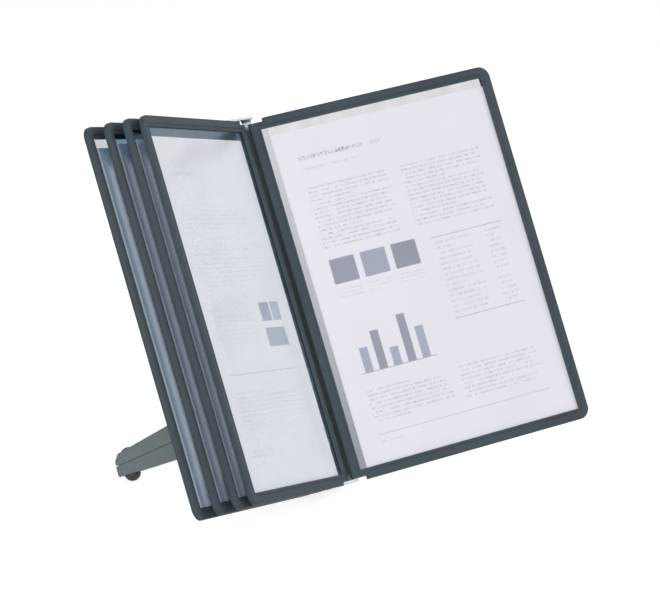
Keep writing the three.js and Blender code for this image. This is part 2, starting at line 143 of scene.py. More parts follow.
def mixColour(tree, share, first, second):
    node = addNode(tree, "Mix")
    node.data_type = "RGBA"
    for i, value in ((0, share), (6, first), (7, second)):
        feed(tree, node.inputs[i], value)
    return node.outputs[2]


def remap(tree, value, fromLow, fromHigh, toLow, toHigh):
    node = addNode(tree, "MapRange")
    for i, given in enumerate((value, fromLow, fromHigh, toLow, toHigh)):
        feed(tree, node.inputs[i], given)
    return node.outputs[0]


def noise(tree, vector, scale, detail=2, roughness=0.5):
    node = addNode(tree, "TexNoise", Vector=vector, Scale=scale, Detail=detail, Roughness=roughness)
    return node.outputs["Fac"]


def stretched(tree, vector, scale):
    return addNode(tree, "Mapping", Vector=vector, Scale=scale).outputs[0]


# Inputs and outputs are given as labels with their kinds
def newGroup(name, inputs, outputs):
    tree = bpy.data.node_groups.new(name, "ShaderNodeTree")
    for way, sockets in (("INPUT", inputs), ("OUTPUT", outputs)):
        for label, kind in sockets.items():
            tree.interface.new_socket(label, in_out=way, socket_type="NodeSocket" + kind)
    return tree, tree.nodes.new("NodeGroupInput").outputs, tree.nodes.new("NodeGroupOutput").inputs


def placeGroup(tree, group, **inputs):
    node = addNode(tree, "Group")
    node.node_tree = group
    for label, value in inputs.items():
        feed(tree, node.inputs[label], value)
    return node.outputs


def newMaterial(name, **plain):
    material = bpy.data.materials.new(name)
    material.use_nodes = True
    tree = material.node_tree
    shader = tree.nodes["Principled BSDF"]
    for label, value in plain.items():
        feed(tree, shader.inputs[label.replace("_", " ")], value)
    return material, tree, shader


def objectSpace(tree):
    return addNode(tree, "TexCoord").outputs["Object"]


def bump(tree, shader, height, strength, distance):
    node = addNode(tree, "Bump", Strength=strength, Distance=distance, Height=height)
    feed(tree, shader.inputs["Normal"], node.outputs[0])


# The material shows a mix of two shaders
def showMix(tree, share, first, second):
    node = addNode(tree, "MixShader", Fac=share)
    feed(tree, node.inputs[1], first.outputs[0])
    feed(tree, node.inputs[2], second.outputs[0])
    feed(tree, tree.nodes["Material Output"].inputs[0], node.outputs[0])


# Moulded plastic and rubber share one surface: fine spark grain, soft tone drift and rub marks
mould = {
    "drift": (9, 3),  # noise scale, detail and roughness
    "rub": (55, 5, 0.65),
    "grain": (2, 0.6),  # detail and roughness
    "rubWear": 0.5,
    "wearBand": (0.55, 1.05, 0, 0.75),  # bands run from one range to another
    "grainBand": (0.35, 0.7, -0.03, 0.05),
    "grainWear": 2,
    "glossBand": (0.35, 0.7, -0.07, 0.09),
    "rubHeight": 0.3,
    "depth": 0.2 * mm,
}


def makeMouldGrain():
    tree, given, result = newGroup(
        "mouldGrain",
        {"Place": "Vector", "Tone": "Color", "Rubbed": "Color", "Grain": "Float", "Gloss": "Float"},
        {"Colour": "Color", "Roughness": "Float", "Height": "Float"},
    )
    drift = noise(tree, given["Place"], *mould["drift"])
    rub = noise(tree, given["Place"], *mould["rub"])
    grain = noise(tree, given["Place"], given["Grain"], *mould["grain"])
    share = remap(tree, plus(tree, drift, times(tree, rub, mould["rubWear"])), *mould["wearBand"])
    fine = remap(tree, grain, *mould["grainBand"])
    wear = plus(tree, share, times(tree, fine, mould["grainWear"]))
    feed(tree, result["Colour"], mixColour(tree, wear, given["Tone"], given["Rubbed"]))
    gloss = plus(tree, given["Gloss"], remap(tree, rub, *mould["glossBand"]))
    feed(tree, result["Roughness"], plus(tree, gloss, fine))
    feed(tree, result["Height"], plus(tree, grain, times(tree, rub, mould["rubHeight"])))
    return tree


mouldGrain = makeMouldGrain()


def plastic(name, tone, rubbed, grain, gloss, relief, **plain):
    material, tree, shader = newMaterial(name, **plain)
    made = placeGroup(
        tree, mouldGrain, Place=objectSpace(tree), Tone=tone, Rubbed=rubbed, Grain=grain, Gloss=gloss
    )
    feed(tree, shader.inputs["Base Color"], made["Colour"])
    feed(tree, shader.inputs["Roughness"], made["Roughness"])
    bump(tree, shader, made["Height"], relief, mould["depth"])
    return material


framePlastic = plastic(
    "framePlastic", (0.048, 0.064, 0.076), (0.070, 0.089, 0.103), 1900, 0.50, 0.25, Specular_IOR_Level=0.05
)
legPlastic = plastic("legPlastic", (0.116, 0.144, 0.150), (0.147, 0.177, 0.182), 1500, 0.48, 0.35)
rubber = plastic("rubber", (0.020, 0.022, 0.023), (0.040, 0.043, 0.045), 2600, 0.62, 0.5)

# Metals are brushed, with a soft cloud of wear
brush = {
    "streaks": (3, 0.6),  # noise detail and roughness
    "cloud": (30, 3),  # scale and detail
    "band": (0.3, 0.7),  # of both noises, spread over each range below
    "streakWear": (0, 0.7),
    "cloudWear": (0.5, 1),
    "streakGloss": (-0.06, 0.08),
    "cloudGloss": (-0.04, 0.04),
    "relief": (0.12, 0.1 * mm),
}


def metal(name, tone, worn, along, gloss, stretch, **plain):
    material, tree, shader = newMaterial(name, **{"Metallic": 1.0, "Anisotropic": 0.35, **plain})
    streaks = noise(tree, stretched(tree, objectSpace(tree), stretch), along, *brush["streaks"])
    cloud = noise(tree, objectSpace(tree), *brush["cloud"])

    def spread(value, word):
        return remap(tree, value, *brush["band"], *brush[word])

    share = times(tree, spread(streaks, "streakWear"), spread(cloud, "cloudWear"))
    feed(tree, shader.inputs["Base Color"], mixColour(tree, share, tone, worn))
    change = plus(tree, spread(streaks, "streakGloss"), spread(cloud, "cloudGloss"))
    feed(tree, shader.inputs["Roughness"], plus(tree, change, gloss))
    bump(tree, shader, streaks, *brush["relief"])
    return material


channelMetal = metal(
    "channelMetal", (0.38, 0.395, 0.41), (0.31, 0.325, 0.34), 420, 0.42, (1, 0.2, 0.2), Metallic=0.75
)
brightWire = metal("brightWire", (0.78, 0.78, 0.78), (0.66, 0.66, 0.67), 900, 0.18, (1, 1, 0.1))
zincScrew = metal("zincScrew", (0.60, 0.60, 0.62), (0.46, 0.46, 0.48), 1500, 0.30, (1, 1, 1))
print("plastics and metals made")

# Print on the sheets. The page's own UV map runs 0 to 1 across and down; groups work in millimetres.
pageSize = (210, 297)
spanLabels = ("Across", "Down", "Left", "Right", "Top", "Bottom")
rowLabels = (*spanLabels, "Pitch", "Seed")


def maskGroup(name, labels):
    tree, given, result = newGroup(name, dict.fromkeys(labels, "Float"), {"Mask": "Float"})
    return tree, [given[label] for label in labels], result["Mask"]


def maskOf(tree, group, *values):
    return placeGroup(tree, group, **dict(zip(rowLabels, values)))["Mask"]


def makeSpan():
    tree, (across, down, left, right, top, bottom), mask = maskGroup("printSpan", spanLabels)
    sideways = times(tree, isLess(tree, left, across), isLess(tree, across, right))
    upright = times(tree, isLess(tree, top, down), isLess(tree, down, bottom))
    feed(tree, mask, times(tree, sideways, upright))
    return tree


printSpan = makeSpan()

# Rows of small random marks in letter cells, grouped as words, ragged at the right, with short last rows
rowLook = {
    "inkFrom": 0.28,  # of the line pitch
    "inkTo": 0.70,
    "letters": 2.3,  # to a line pitch
    "letterBody": 0.80,
    "wordGaps": 0.17,  # share of the letters
    "columns": 4,  # of strokes in a letter
    "levels": 9,  # of strokes in a line pitch
    "strokeGaps": 0.42,  # share of the strokes
    "ragged": 0.12,  # of the row's length
    "shortEvery": 7,  # rows
    "shortBy": 0.45,
    "palest": 0.35,
}


def makeTextRows():
    tree, (across, down, left, right, top, bottom, pitch, seed), mask = maskGroup("textRows", rowLabels)
    look = rowLook

    def chance(*parts):
        spot = addNode(tree, "CombineXYZ", **dict(zip("XYZ", parts)))
        return addNode(tree, "TexWhiteNoise", Vector=spot.outputs[0]).outputs["Value"]

    rows = calc(tree, "DIVIDE", minus(tree, down, top), pitch)
    row = calc(tree, "FLOOR", rows)
    rowKey = plus(tree, row, seed)
    within = minus(tree, rows, row)
    inked = times(tree, isLess(tree, look["inkFrom"], within), isLess(tree, within, look["inkTo"]))
    letters = times(tree, calc(tree, "DIVIDE", minus(tree, across, left), pitch), look["letters"])
    letter = calc(tree, "FLOOR", letters)
    body = isLess(tree, minus(tree, letters, letter), look["letterBody"])
    word = isLess(tree, look["wordGaps"], chance(letter, rowKey))
    column = calc(tree, "FLOOR", times(tree, letters, look["columns"]))
    level = calc(tree, "FLOOR", times(tree, rows, look["levels"]))
    stroke = isLess(tree, look["strokeGaps"], chance(column, level, rowKey))
    ragged = times(tree, chance(rowKey), look["ragged"])
    shortRow = isLess(tree, calc(tree, "MODULO", rowKey, look["shortEvery"]), 0.5)
    missing = plus(tree, ragged, times(tree, shortRow, look["shortBy"]))
    end = minus(tree, right, times(tree, minus(tree, right, left), missing))
    inside = maskOf(tree, printSpan, across, down, left, end, top, bottom)
    mark = times(tree, times(tree, body, word), stroke)
    mark = times(tree, mark, remap(tree, chance(rowKey, letter), 0, 1, look["palest"], 1))
    feed(tree, mask, times(tree, times(tree, inked, mark), inside))
    return tree


textRows = makeTextRows()

# Layouts in millimetres on a 210 by 297 page: left, right, top, bottom
reportPage = {
    "text": (
        (20, 104, 21, 29, 8, 3, 0.85),  # then line pitch, seed and ink
        (20, 78, 33, 37, 4, 8, 0.45),
        (20, 100, 50, 106, 3.8, 11, 0.75),
        (110, 190, 50, 106, 3.8, 31, 0.75),
        (20, 46, 142, 152, 3.2, 52, 0.45),
        (50, 76, 142, 152, 3.2, 61, 0.45),
        (80, 106, 142, 152, 3.2, 74, 0.45),
        (122, 160, 122, 190, 4.8, 83, 0.5),
        (172, 188, 122, 190, 4.8, 97, 0.5),
        (20, 100, 232, 262, 3.8, 105, 0.7),
        (110, 190, 232, 262, 3.8, 121, 0.7),
        (20, 66, 277, 281, 3.2, 140, 0.4),
    ),
    "through": 0.25,
    "throughTone": (0.88, 0.89, 0.92),
    "innerBlank": 1.0,  # hides the far side's print
    "paper": ((0.825, 0.825, 0.865), (0.85, 0.85, 0.89)),
    "panels": (
        (20, 44, 116, 138, (0.10, 0.12, 0.20)),
        (50, 74, 116, 138, (0.17, 0.21, 0.32)),
        (80, 104, 116, 138, (0.07, 0.09, 0.15)),
        (24, 32, 196, 218, (0.20, 0.25, 0.38)),
        (38, 46, 184, 218, (0.10, 0.12, 0.20)),
        (52, 60, 202, 218, (0.20, 0.25, 0.38)),
        (66, 74, 176, 218, (0.10, 0.12, 0.20)),
        (80, 88, 190, 218, (0.20, 0.25, 0.38)),
        (20, 94, 218, 218.7, (0.25, 0.25, 0.30)),
        (120, 190, 119, 119.6, (0.30, 0.28, 0.33)),
        (120, 190, 192, 192.6, (0.30, 0.28, 0.33)),
        (20, 190, 272, 272.5, (0.42, 0.40, 0.45)),
    ),
}
letterPage = {
    "text": (
        (24, 90, 28, 35, 7, 5, 0.42),
        (24, 186, 60, 78, 3.8, 17, 0.30),
        (24, 186, 90, 128, 3.8, 33, 0.30),
        (24, 120, 150, 176, 3.8, 47, 0.30),
        (24, 186, 214, 246, 3.8, 63, 0.30),
        (24, 80, 262, 270, 4, 81, 0.30),
    ),
    "through": 0.25,
    "throughTone": (0.86, 0.90, 0.94),
    "innerBlank": 0.0,
    "paper": ((0.925, 0.935, 0.96), (0.95, 0.96, 0.985)),
    "panels": (
        (136, 158, 142, 158, (0.24, 0.26, 0.38)),
        (162, 184, 142, 158, (0.36, 0.40, 0.50)),
        (136, 184, 164, 180, (0.28, 0.32, 0.42)),
        (24, 186, 200, 200.5, (0.45, 0.44, 0.48)),
    ),
}
indexPage = {
    "text": (
        (40, 150, 30, 40, 5, 21, 0.45),
        (40, 180, 60, 240, 4.4, 37, 0.38),
    ),
    "through": 0.28,
    "throughTone": (0.90, 0.94, 1.0),
    "innerBlank": 0.0,
    "paper": ((0.88, 0.94, 0.99), (0.90, 0.955, 1.0)),
    "panels": ((40, 180, 50, 50.5, (0.3, 0.3, 0.33)),),
}

# Paper is thin: light from behind comes through it
paperLook = {
    "fibre": (1.3, 5, 0.7),  # noise scale, detail and roughness
    "cloud": (0.02, 2),
    "cloudBand": (0.35, 0.65, 0, 1),
    "fibreBand": (0.4, 0.7, 0, 0.07),
    "fibreTone": (0.78, 0.78, 0.82),
    "panelBand": (0.3, 0.7, 0.7, 0.95),  # fibres show through the panels
    "ink": (0.13, 0.10, 0.15),
    "relief": (0.05, 0.1 * mm),
}


# Millimetres across and down the page, together and apart
def pagePlace(tree):
    uv = addNode(tree, "UVMap")
    uv.uv_map = "page"
    place = stretched(tree, uv.outputs[0], (*pageSize, 1))
    across, down, _ = addNode(tree, "SeparateXYZ", Vector=place).outputs
    return place, across, down


def pageMaterial(name, page):
    material, tree, shader = newMaterial(name, Roughness=0.85, Specular_IOR_Level=0.3)
    look = paperLook
    place, across, down = pagePlace(tree)
    fibre = noise(tree, place, *look["fibre"])
    cloud = noise(tree, place, *look["cloud"])
    colour = mixColour(tree, remap(tree, cloud, *look["cloudBand"]), *page["paper"])
    colour = mixColour(tree, remap(tree, fibre, *look["fibreBand"]), colour, look["fibreTone"])
    for *span, tone in page["panels"]:
        mask = maskOf(tree, printSpan, across, down, *span)
        colour = mixColour(tree, times(tree, mask, remap(tree, fibre, *look["panelBand"])), colour, tone)
    for *span, ink in page["text"]:
        mask = maskOf(tree, textRows, across, down, *span)
        colour = mixColour(tree, times(tree, mask, ink), colour, look["ink"])
    inner = addNode(tree, "NewGeometry").outputs["Backfacing"]
    colour = mixColour(tree, times(tree, inner, page["innerBlank"]), colour, page["paper"][0])
    feed(tree, shader.inputs["Base Color"], colour)
    bump(tree, shader, fibre, *look["relief"])
    showMix(tree, page["through"], shader, addNode(tree, "BsdfTranslucent", Color=page["throughTone"]))
    return material


pageLooks = {
    "report": pageMaterial("reportPage", reportPage),
    "letter": pageMaterial("letterPage", letterPage),
    "index": pageMaterial("indexPage", indexPage),
}

# Clear film: mostly see-through, shiny at low angles, darker where no sheet lies behind it.
# The films of the stacked leaves look bluer there, all but the rearmost.
# Painted shade also darkens some films: by the spine on the right leaf, and over the page on the three
# rearmost leaves.
filmCommon = {
    "tint": (0.986, 0.986, 0.988),  # at each face that light passes
    "index": 1.42,
    "bothFaces": 1.1,  # both faces of the film count at the first
    "shiniest": 0.9,
    "stretch": (0.06, 0.008, 1),  # of the cloudy streaks
    "streaks": (1, 3, 0.55),
    "cloudBand": (0.4, 0.7, 0, 0.35),
    "roughBand": (0.3, 0.7, 0.19, 0.24),
    "spineShadeBand": (20, 290, 0.25, 1),  # painted shade by the spine: down the page to its share
    # painted shade over the rearmost leaves' pages, left clear in a margin by the free edge and in a painted
    # light streak
    "margin": 2.6,  # millimetres on the page from here on
    "marginFade": 1.5,
    "streakAt": 13,
    "streakHalf": 8,
    "streakCore": 1,
    "streakCoreShade": 0.12,
    "startBand": (14, 22, 1, 0),  # where the painted light streak starts at the top
}
blueTints = {"bareTint": (0.72, 0.82, 0.90), "sheen": (0.86, 0.94, 1.0)}
filmLooks = {
    # the right leaf's film carries painted shade by the spine
    "single": {"bareTint": (0.89, 0.89, 0.90), "sheen": (0.96, 0.97, 1.0), "spineShadeTint": (0.58, 0.60, 0.62)},
    "stacked": blueTints,
    # painted shade between the stacked leaves, over their pages
    "inner": {**blueTints, "paintedShadeTint": (0.78, 0.83, 0.87)},
    "rearmost": {"bareTint": (0.90, 0.91, 0.92), "sheen": (0.92, 0.96, 1.0), "paintedShadeTint": (0.78, 0.83, 0.87)},
}


def makeFilm(kind):
    look = {**filmCommon, **filmLooks[kind]}
    material, tree, shader = newMaterial(kind + "Film")
    tree.nodes.remove(shader)
    place, across, down = pagePlace(tree)
    onSheet = maskOf(tree, printSpan, across, down, 0, pageSize[0], 0, pageSize[1])
    streak = noise(tree, stretched(tree, place, look["stretch"]), *look["streaks"])
    clouded = mixColour(tree, remap(tree, streak, *look["cloudBand"]), look["bareTint"], look["tint"])
    if "spineShadeTint" in look:  # painted shade by the spine, darker towards the bottom
        spineShade = times(tree, remap(tree, down, *look["spineShadeBand"]), isLess(tree, across, 0))
        clouded = mixColour(tree, spineShade, clouded, look["spineShadeTint"])
    overPage = look["tint"]
    if "paintedShadeTint" in look:  # painted shade over the page, bluer; a margin by the free edge and a streak along the ridge stay clear, painted lighter, and the ridge also shades for real
        near = calc(tree, "MINIMUM", across, minus(tree, pageSize[0], across))
        inside = remap(tree, near, look["margin"], look["margin"] + look["marginFade"], 0, 1)
        away = calc(tree, "ABSOLUTE", minus(tree, near, look["streakAt"]))
        start = remap(tree, plus(tree, down, away), *look["startBand"])
        beside = remap(tree, away, look["streakCore"], look["streakHalf"], look["streakCoreShade"], 1)
        paintedShade = times(tree, inside, calc(tree, "MAXIMUM", beside, start))
        overPage = mixColour(tree, paintedShade, look["tint"], look["paintedShadeTint"])
    clear = addNode(tree, "BsdfTransparent", Color=mixColour(tree, onSheet, clouded, overPage))
    rough = remap(tree, streak, *look["roughBand"])
    sheen = addNode(tree, "BsdfGlossy", Color=look["sheen"], Roughness=rough)
    angle = addNode(tree, "Fresnel", IOR=look["index"]).outputs[0]
    front = isLess(tree, addNode(tree, "NewGeometry").outputs["Backfacing"], 0.5)
    shine = times(tree, times(tree, angle, look["bothFaces"]), front)
    showMix(tree, calc(tree, "MINIMUM", shine, look["shiniest"]), clear, sheen)
    return material


clearFilms = {kind: makeFilm(kind) for kind in filmLooks}
print("sheets' print and film made")

# Mesh helpers


def vertsIn(geom):
    return [g for g in geom if isinstance(g, bmesh.types.BMVert)]


def edgesIn(geom):
    return [g for g in geom if isinstance(g, bmesh.types.BMEdge)]


def tipOver(bm, angle):
    bmesh.ops.rotate(bm, cent=(0, 0, 0), matrix=Matrix.Rotation(angle, 3, "X"), verts=bm.verts)


def facedOut(bm):
    bmesh.ops.recalc_face_normals(bm, faces=bm.faces)
    return bm


def finishMesh(bm, name, place, material, angle=35):
    bmesh.ops.transform(bm, matrix=place, verts=bm.verts)
    mesh = bpy.data.meshes.new(name)
    bm.to_mesh(mesh)
    bm.free()
    mesh.shade_smooth()
    mesh.set_sharp_from_angle(angle=math.radians(angle))
    mesh.materials.append(material)
    made = bpy.data.objects.new(name, mesh)
    scene.collection.objects.link(made)
    return made


def addPiece(bm, name, place, material, body, node, angle=35):
    made = finishMesh(bm, name, place, material, angle)
    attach(made, body)
    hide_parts(node)


def boxMesh(low, high):
    bm = bmesh.new()
    bmesh.ops.create_cube(bm, size=1)
    size = Vector(high) - Vector(low)
    bmesh.ops.scale(bm, vec=size, verts=bm.verts)
    bmesh.ops.translate(bm, vec=(Vector(high) + Vector(low)) / 2, verts=bm.verts)
    return bm


def rodMesh(radius, low, high, sides):
    bm = bmesh.new()
    bmesh.ops.create_cone(bm, cap_ends=True, segments=sides, radius1=radius, radius2=radius, depth=high - low)
    bmesh.ops.translate(bm, vec=(0, 0, (low + high) / 2), verts=bm.verts)
    return bm


def roundEdges(bm, width, segments, sharpest=30, pick=None):
    limit = math.radians(sharpest)
    picked = [
        e for e in bm.edges
        if len(e.link_faces) == 2 and e.calc_face_angle(0) > limit and (pick is None or pick(e))
    ]
    bmesh.ops.bevel(
        bm, geom=picked, offset=width, offset_type="OFFSET", affect="EDGES", segments=segments,
        profile=0.5, material=-1, clamp_overlap=True,
    )


# The first mesh, changed by each of the others in turn
def combine(bm, others, operation):
    objects = []
    for part in (bm, *others):
        mesh = bpy.data.meshes.new("blank")
        part.to_mesh(mesh)
        part.free()
        objects.append(bpy.data.objects.new("blank", mesh))
        scene.collection.objects.link(objects[-1])
    for other in objects[1:]:
        change = objects[0].modifiers.new("change", "BOOLEAN")
        change.operation = operation
        change.solver = "EXACT"
        change.object = other
    bpy.context.view_layer.update()
    result = bmesh.new()
    result.from_object(objects[0], bpy.context.evaluated_depsgraph_get())
    for spare in objects:
        bpy.data.objects.remove(spare)
    return result


def cutAway(bm, cutters):
    return combine(bm, cutters, "DIFFERENCE")


# Leaf frame: one moulded section swept round the window, then notched, slit and bored
frameShape = {
    "lip": 0.7 * mm,  # inner lip beside the film
    "chamfer": 1.9 * mm,  # from the lip up to the groove
    "groove": 0.55 * mm,  # deep and wide, round the window
    "grooveAt": 2.3 * mm,
    "crown": 0.15 * mm,  # the face falls this much to its outer edge
    "dip": 0.2,  # share of the groove and crown that their near points dip
    "outerRound": 0.7 * mm,
    "slotHalf": 1.0 * mm,
    "slotDepth": 3 * mm,
    "roundSteps": 5,
    "cornerSteps": 16,
    "notchDepth": 3.2 * mm,
    "notchReach": 11 * mm,
    "slitHalf": 0.5 * mm,
    "slitMargin": 1.5 * mm,
    "pinGroove": 1.15 * mm,
    "grooveLength": 8 * mm,
    "boreLength": 8 * mm,
    "boreSides": 24,
    "overrun": 1 * mm,  # of a cutter past the face it opens
    "merge": 1e-6,
}


def barSection():
    s = frameShape
    half = leafSet["halfThickness"]
    outer = leafSet["bar"]
    front = [
        (s["slotDepth"], s["slotHalf"]),
        (0, s["slotHalf"]),
        (0, s["slotHalf"] + s["lip"]),
        (s["chamfer"], half - s["dip"] * s["groove"]),
        (s["grooveAt"], half - s["groove"]),
        (s["grooveAt"] + s["groove"], half - s["groove"]),
        (s["grooveAt"] + 2 * s["groove"], half),
        ((s["grooveAt"] + outer) / 2, half - s["dip"] * s["crown"]),
    ]
    for i in range(s["roundSteps"] + 1):
        angle = math.pi / 2 * (1 - i / s["roundSteps"])
        front.append((
            outer - s["outerRound"] * (1 - math.cos(angle)),
            half - s["crown"] - s["outerRound"] * (1 - math.sin(angle)),
        ))
    return front + [(d, -y) for d, y in reversed(front)]


def leafFrameMesh():
    s = frameShape
    right = leafSet["windowX"] + leafSet["windowWidth"]
    top = leafSet["windowHalf"]
    outerTop = top + leafSet["bar"]
    bend = right + leafSet["bar"] - leafSet["cornerRadius"]
    rise = outerTop - leafSet["cornerRadius"]
    bm = bmesh.new()
    ring = [bm.verts.new((right + d, y, 0)) for d, y in barSection()]
    loop = [bm.edges.new((ring[i - 1], ring[i])) for i in range(len(ring))]

    def extrudeLoop(edges):
        grown = bmesh.ops.extrude_edge_only(bm, edges=edges)["geom"]
        return edgesIn(grown), vertsIn(grown)

    loop, points = extrudeLoop(loop)
    bmesh.ops.translate(bm, vec=(0, 0, rise), verts=points)
    turned = bmesh.ops.spin(
        bm, geom=loop, cent=(bend, 0, rise), axis=(0, -1, 0), angle=math.pi / 2,
        steps=s["cornerSteps"], use_merge=False,
    )["geom_last"]
    loop, points = extrudeLoop(edgesIn(turned))
    for point in points:  # mitre at the spine corner
        point.co.x = leafSet["windowX"] - (point.co.z - top)
    loop, points = extrudeLoop(loop)
    for point in points:
        point.co.z = 0
    geom = bm.verts[:] + bm.edges[:] + bm.faces[:]
    bmesh.ops.mirror(bm, geom=geom, matrix=Matrix(), merge_dist=s["merge"], axis="Z")
    bmesh.ops.remove_doubles(bm, verts=bm.verts, dist=s["merge"])
    facedOut(bm)
    floor = outerTop - s["notchDepth"]
    grooveEnd = floor - s["grooveLength"]
    tail = leafSet["windowX"] - leafSet["bar"]
    over = s["overrun"]
    clear = leafSet["halfThickness"] + over
    groove = s["pinGroove"]
    cutters = [boxMesh(
        (leafSet["windowX"] + s["slitMargin"], -s["slitHalf"], top - over),
        (right - s["slitMargin"], s["slitHalf"], outerTop + over),
    )]
    for side in (1, -1):
        low, high = sorted((side * floor, side * (outerTop + over)))
        cutters.append(boxMesh((tail - over, -clear, low), (s["notchReach"], clear, high)))
        low, high = sorted((side * grooveEnd, side * (floor + over)))
        cutters.append(boxMesh((-groove, -groove, low), (groove, clear, high)))
        low, high = sorted((side * (grooveEnd - s["boreLength"]), side * (grooveEnd + over)))
        cutters.append(rodMesh(groove, low, high, s["boreSides"]))
    return cutAway(bm, cutters)


# Film and sheet are nearly flat grids with a faint swell and lengthwise waves, held flat at their edges
sheetShape = {
    "columns": 60,
    "rows": 48,
    "filmNear": 0.4 * mm,
    "filmThickness": 0.3 * mm,
    "filmTuck": 2.6 * mm,
    "sheetWidth": pageSize[0] * mm,
    "sheetHeight": pageSize[1] * mm,
    "sheetThickness": 0.2 * mm,
    "sheetTuck": 0.6 * mm,
    "sheetSlides": (3, 3, 3, 0, 0),  # mm that each sheet has slid towards the spine
    "puff": 0.35 * mm,
    "freeAcross": 8,  # waves stand in full from 1/8 of the window's width off an edge
    "freeUp": 6,  # and from 1/6 of its half height
    "waves": (0.21, 0.21, 0.21, 0.525, 0.126),  # mm of wave for each leaf
    # each wave: share, turns across, turns up, shift from leaf to leaf
    "ripples": ((1, 9.5, 0.9, 1.7), (0.5, 17, -1.6, 1)),
    # the stacked leaves bulge in one long ridge by the free edge
    "stacked": 3,
    "ridge": {"at": 21 * mm, "half": 13 * mm, "height": 1.3 * mm, "below": 10 * mm, "rise": 16 * mm},
}
sheetLooks = ("index", "index", "index", "letter", "report")
filmOrder = ("rearmost", "inner", "inner", "stacked", "single")


def clamped(t):
    return max(0, min(1, t))


def eased(t):
    return t * t * (3 - 2 * t)


def waveAt(index, x, z):
    s = sheetShape
    w = leafSet["windowWidth"]
    h = leafSet["windowHalf"]
    u = (x - leafSet["windowX"]) / w
    v = z / h
    hold = eased(clamped(min(u, 1 - u) * s["freeAcross"]) * clamped((1 - abs(v)) * s["freeUp"]))
    wave = sum(share * math.sin(u * a + v * b + index * c) for share, a, b, c in s["ripples"])
    wave *= s["waves"][index] * mm * hold
    ridge = s["ridge"]
    away = (leafSet["windowX"] + w - ridge["at"] - x) / ridge["half"]
    if index < s["stacked"] and abs(away) < 1:
        fade = eased(clamped((h - abs(z) - ridge["below"]) / ridge["rise"]))
        wave += ridge["height"] * math.cos(away * math.pi / 2) ** 2 * fade
    return wave, s["puff"] * hold


def layerMesh(index, low, high, y, side, thickness):
    bm = bmesh.new()
    bmesh.ops.create_grid(bm, x_segments=sheetShape["columns"], y_segments=sheetShape["rows"], size=0.5)
    size = Vector((high[0] - low[0], high[1] - low[1], 1))
    bmesh.ops.scale(bm, vec=size, verts=bm.verts)
    bmesh.ops.translate(bm, vec=((low[0] + high[0]) / 2, (low[1] + high[1]) / 2, 0), verts=bm.verts)
    tipOver(bm, math.pi / 2)
    for vert in bm.verts:
        wave, swell = waveAt(index, vert.co.x, vert.co.z)
        vert.co.y = y + wave + side * swell
    shell = bmesh.ops.extrude_face_region(bm, geom=bm.faces[:])["geom"]
    bmesh.ops.translate(bm, vec=(0, thickness, 0), verts=vertsIn(shell))
    return facedOut(bm)


def sheetEdge(index):
    slide = sheetShape["sheetSlides"][index] * mm
    return leafSet["windowX"] + leafSet["windowWidth"] + sheetShape["sheetTuck"] - slide


# The page reads upright from each side: across from its own left edge, down from its top
def mapPage(bm, index):
    uv = bm.loops.layers.uv.new("page")
    left = sheetEdge(index) - sheetShape["sheetWidth"]
    top = sheetShape["sheetHeight"] - leafSet["windowHalf"] - sheetShape["sheetTuck"]
    for face in bm.faces:
        toBack = face.normal.y > 0
        for corner in face.loops:
            across = (corner.vert.co.x - left) / sheetShape["sheetWidth"]
            down = (top - corner.vert.co.z) / sheetShape["sheetHeight"]
            corner[uv].uv = (1 - across if toBack else across, down)


def addLayers(index, place):
    s = sheetShape
    body = f"leaf_{index + 1}"
    outerX = leafSet["windowX"] + leafSet["windowWidth"]
    half = leafSet["windowHalf"]
    low = (leafSet["windowX"] - s["filmTuck"], -half - s["filmTuck"])
    high = (outerX + s["filmTuck"], half + s["filmTuck"])
    frontSide = -leafSet["sides"][index]
    for word, side in (("front", frontSide), ("rear", -frontSide)):
        near = s["filmNear"] if side > 0 else -s["filmNear"] - s["filmThickness"]
        bm = layerMesh(index, low, high, near, side, s["filmThickness"])
        mapPage(bm, index)
        film = clearFilms[filmOrder[index]]
        addPiece(bm, f"{body}_{word}_clear_film", place, film, body, f"{body}_{word}_film", 60)
    right = sheetEdge(index)
    low = -half - s["sheetTuck"]
    bm = layerMesh(
        index, (right - s["sheetWidth"], low), (right, low + s["sheetHeight"]),
        -s["sheetThickness"] / 2, 0, s["sheetThickness"],
    )
    mapPage(bm, index)
    page = pageLooks[sheetLooks[index]]
    addPiece(bm, f"{body}_paper_sheet", place, page, body, f"{body}_printed_sheet", 60)


# Wire pins with a rounded tip
pinShape = {
    "radius": 0.85 * mm,
    "tipRound": 0.3 * mm,
    "tipSteps": 3,
    "sides": 32,
    "root": 142.6 * mm,
    "upperTip": 164.4 * mm,
    "lowerTip": 160.3 * mm,
}


def pinMesh(side):
    s = pinShape
    tip = s["upperTip"] if side > 0 else s["lowerTip"]
    bm = rodMesh(s["radius"], s["root"], tip, s["sides"])

    def atTip(e):
        return all(v.co.z > tip - s["tipRound"] for v in e.verts)

    roundEdges(bm, s["tipRound"], s["tipSteps"], pick=atTip)
    if side < 0:
        tipOver(bm, math.pi)
    return bm


def addLeaves():
    blank = leafFrameMesh()
    for index in range(len(leafSet["swings"])):
        body = f"leaf_{index + 1}"
        place = leafPlace(index)
        addPiece(
            blank.copy(), f"{body}_moulded_frame", place, framePlastic, body, f"{body}_frame"
        )
        for word, side in (("upper", 1), ("lower", -1)):
            addPiece(
                pinMesh(side), f"{body}_{word}_wire_pin", place, brightWire,
                body, f"{body}_{word}_pin",
            )
        addLayers(index, place)
    blank.free()


addLeaves()
print("leaves made")

# Stand pieces are drawn in millimetres in the spine frame
standPlace = spinePlace @ Matrix.Scale(mm, 4)

